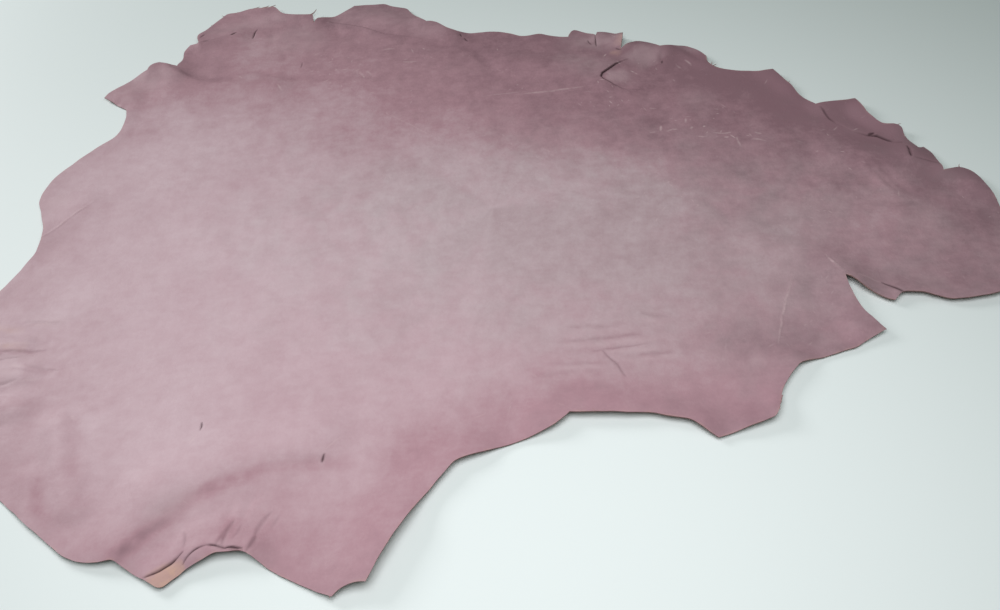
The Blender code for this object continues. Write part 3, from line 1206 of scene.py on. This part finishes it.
class Clouds(Effect):
    """Soft uneven patches, which can be drawn out along X."""

    name = "clouds"
    inputs = {"Vector": (0.0, 0.0, 0.0), "Scale": 10.0, "Stretch": 1.0, "Detail": 3.0, "Low": 0.3, "High": 0.7}

    def fill(self, graph: Graph, given: dict[str, bpy.types.NodeSocket]) -> bpy.types.NodeSocket:
        """Adds a noise whose middle values are spread from 0 to 1.

        Args:
            graph: The group's nodes.
            given: The group's inputs by name.

        Returns:
            The mask.
        """
        squeeze = graph.add("ShaderNodeCombineXYZ", X=graph.math("DIVIDE", 1.0, given["Stretch"]), Y=1.0, Z=1.0)
        place = graph.vector("MULTIPLY", given["Vector"], squeeze.outputs[0]).outputs["Vector"]
        field = graph.add("ShaderNodeTexNoise", Vector=place, Scale=given["Scale"], Detail=given["Detail"])
        field.inputs["Roughness"].default_value = 0.6
        return graph.ramp(field.outputs["Fac"], given["Low"], given["High"])


class Strokes(Effect):
    """Short straight scratches and healed scars, scattered one to a cell."""

    name = "scattered_strokes"
    inputs = {
        "Vector": (0.0, 0.0, 0.0),
        "Cells": 60.0,
        "Share": 0.5,
        "Half Length": 0.004,
        "Half Width": 0.0006,
        "Spread": 3.14,
        "Seed": 0.0,
    }

    def fill(self, graph: Graph, given: dict[str, bpy.types.NodeSocket]) -> bpy.types.NodeSocket:
        """Adds the cells, and turns a narrow stroke by a random angle in each that has one.

        Args:
            graph: The group's nodes.
            given: The group's inputs by name.

        Returns:
            The mask.
        """
        offset = graph.add("ShaderNodeCombineXYZ", X=given["Seed"], Y=0.0, Z=0.0).outputs[0]
        place = graph.vector("ADD", given["Vector"], offset).outputs["Vector"]
        cells = graph.add("ShaderNodeTexVoronoi", {"voronoi_dimensions": "2D"}, Vector=place, Scale=given["Cells"])
        local = graph.vector("SUBTRACT", place, cells.outputs["Position"]).outputs["Vector"]
        chance = graph.add("ShaderNodeSeparateColor", Color=cells.outputs["Color"])
        angle = graph.math("MULTIPLY", graph.math("SUBTRACT", chance.outputs[0], 0.5), given["Spread"])
        turned = graph.add("ShaderNodeVectorRotate", {"rotation_type": "Z_AXIS"}, Vector=local, Angle=angle)
        parts = graph.add("ShaderNodeSeparateXYZ", Vector=turned.outputs[0])
        length = graph.math("MULTIPLY", given["Half Length"], graph.math("ADD", chance.outputs[2], 0.4))
        along = graph.ramp(graph.math("ABSOLUTE", parts.outputs[0]), length, 0.0)
        across = graph.ramp(graph.math("ABSOLUTE", parts.outputs[1]), given["Half Width"], 0.0)
        there = graph.math("LESS_THAN", chance.outputs[1], given["Share"])
        return graph.math("MULTIPLY", graph.math("MULTIPLY", along, across), there)


class SkinGrain(Effect):
    """The fine pebbled grain of a skin, with its pores."""

    name = "skin_grain"
    output = "Height"
    inputs = {"Vector": (0.0, 0.0, 0.0), "Scale": 600.0}

    def fill(self, graph: Graph, given: dict[str, bpy.types.NodeSocket]) -> bpy.types.NodeSocket:
        """Adds small cells and a finer noise over them.

        Args:
            graph: The group's nodes.
            given: The group's inputs by name.

        Returns:
            The height.
        """
        cells = graph.add("ShaderNodeTexVoronoi", Vector=given["Vector"], Scale=given["Scale"])
        fuzz = graph.add("ShaderNodeTexNoise", Vector=given["Vector"], Scale=given["Scale"], Detail=4.0)
        return graph.math("ADD", graph.math("MULTIPLY", cells.outputs["Distance"], 0.6), fuzz.outputs["Fac"])


@dataclass(frozen=True)
class GrainFinish:
    """The dyed and waxed grain side, with painted shade, sheen and highlights in its colour."""

    effects: dict[str, bpy.types.NodeTree]
    light: Color = (0.58, 0.43, 0.475, 1.0)
    rose: Color = (0.395, 0.225, 0.265, 1.0)
    mauve: Color = (0.256, 0.141, 0.170, 1.0)
    pale: Color = (0.60, 0.44, 0.46, 1.0)
    # the pale wax, also the colour of the painted highlights beside the wrinkles
    wax_and_highlight: Color = (0.515, 0.368, 0.40, 1.0)
    tan: Color = (0.53, 0.325, 0.265, 1.0)
    # the colour of the painted shade in the gaps and creases
    dark: Color = (0.045, 0.018, 0.024, 1.0)
    roughness: float = 0.6

    def depth_of_dye(self, graph: Graph, place: Any, masks: dict[str, Any]) -> bpy.types.NodeSocket:
        """Says how deep the dye is: more towards the neck, the far flank and the edge, with clouds in it, and painted
        shade along the troughs.

        Args:
            graph: The material's nodes.
            place: The surface's coordinates.
            masks: The sheet's masks by name.

        Returns:
            A share from 0, light, to 1, deep.
        """
        clouds = self.effects["clouds"]
        parts = graph.add("ShaderNodeSeparateXYZ", Vector=place)
        drift = graph.use(clouds, Vector=place, Scale=6.0, Stretch=1.1, Detail=4.0, Low=0.3, High=0.7)
        along = graph.math("MINIMUM", graph.math("MULTIPLY_ADD", parts.outputs[0], 0.75, 0.47), 0.74)
        slant = graph.math("MULTIPLY_ADD", parts.outputs[0], 0.25, parts.outputs[1])
        slant = graph.math("MULTIPLY_ADD", drift, 0.07, slant)
        far = graph.ramp(slant, 0.07, 0.27, 0.0, 0.42)
        near = graph.ramp(parts.outputs[1], -0.28, -0.46, 0.0, 0.16)
        rump = graph.ramp(parts.outputs[0], -0.36, -0.58, 0.0, 0.14)
        edge = graph.ramp(masks["rim"], 0.10, 0.0, 0.0, 0.24)
        total = graph.math("ADD", graph.math("ADD", along, far), graph.math("ADD", near, graph.math("ADD", rump, edge)))
        layers = (
            (graph.use(clouds, Vector=place, Scale=19.0, Stretch=0.85, Detail=5.0, Low=0.32, High=0.7), 0.12),
            (graph.use(clouds, Vector=place, Scale=52.0, Stretch=0.8, Detail=5.0, Low=0.32, High=0.7), 0.13),
            (graph.use(clouds, Vector=place, Scale=120.0, Stretch=2.2, Detail=4.0, Low=0.34, High=0.68), 0.09),
            (graph.use(clouds, Vector=place, Scale=260.0, Stretch=0.8, Detail=3.0, Low=0.34, High=0.68), 0.07),
        )
        mottle = 0.0
        for layer, weight in layers:
            mottle = graph.math("MULTIPLY_ADD", graph.math("SUBTRACT", layer, 0.5), weight, mottle)
        across = graph.math("MULTIPLY_ADD", parts.outputs[0], 0.5, parts.outputs[1])
        strength = graph.ramp(across, -0.35, 0.35, 0.65, 1.15)
        total = graph.math("MULTIPLY_ADD", graph.math("SUBTRACT", drift, 0.5), 0.14, total)
        total = graph.math("MULTIPLY_ADD", mottle, strength, total)
        # deeper along the troughs and creases, which is painted shade, and at the darker patches
        return graph.math("MULTIPLY_ADD", masks["shade_and_stain"], 0.55, total)

    def nicks(self, graph: Graph, place: Any, dye: Any) -> bpy.types.NodeSocket:
        """Scatters healed scars, most of them where the dye is deep.

        Args:
            graph: The material's nodes.
            place: The surface's coordinates.
            dye: How deep the dye is.

        Returns:
            The mask.
        """
        clouds, strokes = self.effects["clouds"], self.effects["scattered_strokes"]
        scars = graph.use(
            strokes, Vector=place, Cells=48.0, Share=0.3, Half_Length=0.006, Half_Width=0.0014, Spread=2.6, Seed=0.0
        )
        flecks = graph.use(
            strokes, Vector=place, Cells=105.0, Share=0.2, Half_Length=0.003, Half_Width=0.0012, Spread=3.1, Seed=5.0
        )
        where = graph.use(clouds, Vector=place, Scale=12.0, Stretch=1.6, Detail=2.0, Low=0.48, High=0.64)
        both = graph.math("MAXIMUM", scars, graph.math("MULTIPLY", flecks, 0.8))
        both = graph.math("MULTIPLY", both, graph.ramp(dye, 0.3, 1.0, 0.35, 0.9))
        side = graph.add("ShaderNodeSeparateXYZ", Vector=place).outputs[1]
        both = graph.math("MULTIPLY", both, graph.ramp(side, -0.12, 0.06, 0.25, 1.0))
        return graph.math("MULTIPLY", both, graph.ramp(where, 0.0, 1.0, 0.1, 1.0))

    def build(self) -> bpy.types.Material:
        """Makes the material.

        Returns:
            A matt leather with clouds of dye, wax haze, scars and a tan edge, with painted shade in the gaps and
            troughs, a painted sheen along the spine and painted highlights beside the wrinkles.
        """
        material = bpy.data.materials.new("grain_side")
        material.use_nodes = True
        graph = Graph(material.node_tree)
        shader = material.node_tree.nodes["Principled BSDF"]
        place = graph.add("ShaderNodeTexCoord").outputs["Object"]
        clouds = self.effects["clouds"]
        masks = {
            name: graph.add("ShaderNodeAttribute", {"attribute_name": name}).outputs["Fac"]
            for name in ("rim", "gap", "scar", "shade_and_stain", "haze_and_highlight", "core")
        }

        dye = self.depth_of_dye(graph, place, masks)
        color = graph.blend(graph.math("DIVIDE", dye, 0.7, clamp=True), self.light, self.rose)
        color = graph.blend(graph.math("MULTIPLY_ADD", dye, 2.0, -1.4, clamp=True), color, self.mauve)
        # a greyer band along the spine, towards the neck, which is painted sheen, and faint greyer blotches of wax all
        # over
        parts = graph.add("ShaderNodeSeparateXYZ", Vector=place)
        slant = graph.math("MULTIPLY_ADD", parts.outputs[0], 0.1, parts.outputs[1])
        spine = graph.ramp(graph.math("ABSOLUTE", graph.math("ADD", slant, 0.05)), 0.30, 0.02)
        patch = graph.use(clouds, Vector=place, Scale=11.0, Stretch=1.3, Detail=6.0, Low=0.3, High=0.7)
        sheen_and_blotches = graph.math("MULTIPLY", spine, graph.ramp(parts.outputs[0], -0.45, 0.05))
        sheen_and_blotches = graph.math("MULTIPLY", sheen_and_blotches, graph.ramp(parts.outputs[0], 0.5, 0.15, 0.45, 1.0))
        sheen_and_blotches = graph.math("MULTIPLY", sheen_and_blotches, graph.ramp(patch, 0.0, 1.0, 0.6, 1.0))
        blotch = graph.use(clouds, Vector=place, Scale=34.0, Stretch=1.0, Detail=5.0, Low=0.35, High=0.7)
        sheen_and_blotches = graph.math("MULTIPLY_ADD", blotch, 0.18, sheen_and_blotches)
        greyer = graph.add("ShaderNodeHueSaturation", Color=color)
        graph.feed(greyer.inputs["Saturation"], graph.ramp(sheen_and_blotches, 0.0, 1.0, 1.0, 0.68))
        color = greyer.outputs["Color"]
        # paler places of dried wax and worn skin, and painted highlights beside the wrinkles
        worn_and_highlit = graph.math("MULTIPLY", masks["haze_and_highlight"], graph.ramp(patch, 0.0, 1.0, 0.45, 1.0))
        color = graph.blend(graph.math("MULTIPLY", worn_and_highlit, 0.5), color, self.wax_and_highlight)
        # scars, broken up along their length
        broken = graph.use(clouds, Vector=place, Scale=240.0, Stretch=1.5, Detail=2.0, Low=0.3, High=0.6)
        scar = graph.math("MULTIPLY", masks["scar"], graph.ramp(broken, 0.0, 1.0, 0.45, 1.0))
        pale = graph.math("MAXIMUM", self.nicks(graph, place, dye), scar)
        color = graph.blend(graph.math("MULTIPLY", pale, 0.75), color, self.pale)
        # the tan core at worn places of the edge, and painted shade at the bottoms of the gaps and creases
        fray = graph.use(clouds, Vector=place, Scale=90.0, Stretch=1.0, Detail=4.0, Low=0.4, High=0.65)
        rubbed = graph.math("MULTIPLY", graph.ramp(masks["rim"], 0.003, 0.0), graph.ramp(fray, 0.0, 1.0, 0.0, 0.2))
        core = graph.math("MULTIPLY", masks["core"], graph.ramp(fray, 0.0, 1.0, 0.7, 1.0))
        color = graph.blend(graph.math("MAXIMUM", rubbed, core), color, self.tan)
        color = graph.blend(graph.math("POWER", masks["gap"], 0.7), color, self.dark)
        graph.feed(shader.inputs["Base Color"], color)

        polish = graph.ramp(patch, 0.0, 1.0, self.roughness + 0.06, self.roughness - 0.05)
        graph.feed(shader.inputs["Roughness"], graph.math("MULTIPLY_ADD", masks["gap"], 0.3, polish))
        shader.inputs["Metallic"].default_value = 0.0
        shader.inputs["Specular IOR Level"].default_value = 0.35

        grain = graph.use(self.effects["skin_grain"], Vector=place, Scale=650.0)
        mottle = graph.use(clouds, Vector=place, Scale=60.0, Stretch=1.4, Detail=5.0, Low=0.3, High=0.7)
        height = graph.math("MULTIPLY_ADD", mottle, 1.0, graph.math("MULTIPLY", grain, 0.45))
        height = graph.math("MULTIPLY_ADD", pale, -0.8, height)
        bump = graph.add("ShaderNodeBump", Height=height, Distance=0.0006, Strength=0.4)
        graph.feed(shader.inputs["Normal"], bump.outputs["Normal"])
        return material


@dataclass(frozen=True)
class FleshFinish:
    """The fibrous flesh side, and the cut edge where the same fibres show."""

    effects: dict[str, bpy.types.NodeTree]
    name: str
    nap: Color
    shade: Color
    roughness: float = 0.85

    def build(self) -> bpy.types.Material:
        """Makes the material.

        Returns:
            A dry suede with an uneven nap.
        """
        material = bpy.data.materials.new(self.name)
        material.use_nodes = True
        graph = Graph(material.node_tree)
        shader = material.node_tree.nodes["Principled BSDF"]
        place = graph.add("ShaderNodeTexCoord").outputs["Object"]
        clouds = self.effects["clouds"]
        patch = graph.use(clouds, Vector=place, Scale=18.0, Stretch=1.5, Detail=5.0, Low=0.35, High=0.7)
        nap = graph.use(clouds, Vector=place, Scale=420.0, Stretch=1.8, Detail=4.0, Low=0.3, High=0.7)
        share = graph.math("ADD", graph.math("MULTIPLY", patch, 0.55), graph.math("MULTIPLY", nap, 0.35))
        graph.feed(shader.inputs["Base Color"], graph.blend(share, self.nap, self.shade))
        graph.feed(shader.inputs["Roughness"], graph.ramp(nap, 0.0, 1.0, self.roughness + 0.08, self.roughness - 0.1))
        bump = graph.add("ShaderNodeBump", Height=nap, Distance=0.0004, Strength=0.6)
        graph.feed(shader.inputs["Normal"], bump.outputs["Normal"])
        return material


@dataclass(frozen=True)
class Lamp:
    """A soft rectangular studio lamp that points at a place."""

    name: str
    place: tuple[float, float, float]
    aim: tuple[float, float, float]
    width: float
    depth: float
    power: float
    color: tuple[float, float, float]

    def build(self) -> bpy.types.Object:
        """Makes the lamp and points it.

        Returns:
            The lamp.
        """
        data = bpy.data.lights.new(self.name, "AREA")
        data.shape = "RECTANGLE"
        data.size, data.size_y = self.width, self.depth
        data.energy, data.color = self.power, self.color
        lamp = bpy.data.objects.new(self.name, data)
        lamp.location = self.place
        lamp.rotation_euler = (Vector(self.aim) - Vector(self.place)).to_track_quat("-Z", "Y").to_euler()
        bpy.context.scene.collection.objects.link(lamp)
        return lamp


class Studio:
    """The pale floor, the soft light and the camera."""

    lamps = (
        Lamp("window", (-1.9, 1.2, 1.1), (0.0, 0.0, 0.0), 0.8, 0.8, 29.6, (0.974, 0.967, 0.974)),
        Lamp("overhead", (0.0, -0.45, 1.0), (0.0, -0.2, 0.0), 1.0, 0.8, 11.1, (0.974, 0.967, 0.974)),
    )

    def __init__(self) -> None:
        """Builds the stage round the hide."""
        self.floor = self.build_floor()
        self.lights = [lamp.build() for lamp in self.lamps]
        self.camera = self.build_camera(CameraSizes())
        world = bpy.data.worlds.new("studio")
        world.use_nodes = True
        backdrop = world.node_tree.nodes["Background"]
        backdrop.inputs["Color"].default_value = (0.68, 1.0, 0.82, 1.0)
        backdrop.inputs["Strength"].default_value = 0.11
        bpy.context.scene.world = world
        bpy.context.scene.view_settings.view_transform = "Standard"

    def build_floor(self) -> bpy.types.Object:
        """Makes the plain pale floor.

        Returns:
            The floor, which is not attached to the hide.
        """
        slab = bmesh.new()
        bmesh.ops.create_grid(slab, x_segments=8, y_segments=8, size=6.0)
        mesh = bpy.data.meshes.new("floor")
        slab.to_mesh(mesh)
        slab.free()
        material = bpy.data.materials.new("pale_floor")
        material.use_nodes = True
        shader = material.node_tree.nodes["Principled BSDF"]
        shader.inputs["Base Color"].default_value = (0.76, 0.81, 0.815, 1.0)
        shader.inputs["Roughness"].default_value = 0.6
        mesh.materials.append(material)
        floor = bpy.data.objects.new("floor", mesh)
        floor.location.z = -0.0002
        bpy.context.scene.collection.objects.link(floor)
        return floor

    def build_camera(self, sizes: CameraSizes) -> bpy.types.Object:
        """Makes the camera.

        Args:
            sizes: Where it stands and how it is framed.

        Returns:
            The camera, set as the scene's.
        """
        data = bpy.data.cameras.new("viewer")
        data.sensor_width, data.lens = sizes.sensor, sizes.lens
        data.clip_start, data.clip_end = 0.01, 50.0
        camera = bpy.data.objects.new("viewer", data)
        tilt = Euler((math.pi / 2 - sizes.down, 0.0, 0.0)).to_matrix().to_4x4()
        camera.matrix_world = Matrix.Translation(sizes.place) @ tilt @ Matrix.Rotation(-sizes.roll, 4, "Z")
        bpy.context.scene.collection.objects.link(camera)
        bpy.context.scene.camera = camera
        return camera


def clear_startup() -> None:
    """Removes what a new file starts with, and leaves the frame."""
    for name in ("Cube", "Light", "Camera"):
        extra = bpy.data.objects.get(name)
        if extra is not None:
            bpy.data.objects.remove(extra, do_unlink=True)


def main() -> None:
    clear_startup()
    effects = {effect.name: effect.tree for effect in (Clouds(), Strokes(), SkinGrain())}
    sizes = SheetSizes()
    grain = GrainFinish(effects).build()
    flesh = FleshFinish(effects, "flesh_side", (0.40, 0.27, 0.24, 1.0), (0.27, 0.16, 0.16, 1.0)).build()
    cut = FleshFinish(effects, "cut_edge", (0.30, 0.17, 0.155, 1.0), (0.16, 0.08, 0.085, 1.0)).build()
    hide = HideSheet(sizes, (grain, flesh, cut))
    log.info("leather_sheet has %d faces", len(hide.object.data.polygons))
    torn = FleshFinish(effects, "torn_fibre", (0.42, 0.26, 0.25, 1.0), (0.26, 0.14, 0.15, 1.0)).build()
    fibres = EdgeFibres(hide, torn)
    log.info("edge_fibres has %d faces", len(fibres.object.data.polygons))
    for piece in (hide.object, fibres.object):
        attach(piece, "root")
    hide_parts("hide")
    Studio()


if __name__ == "__main__":
    main()
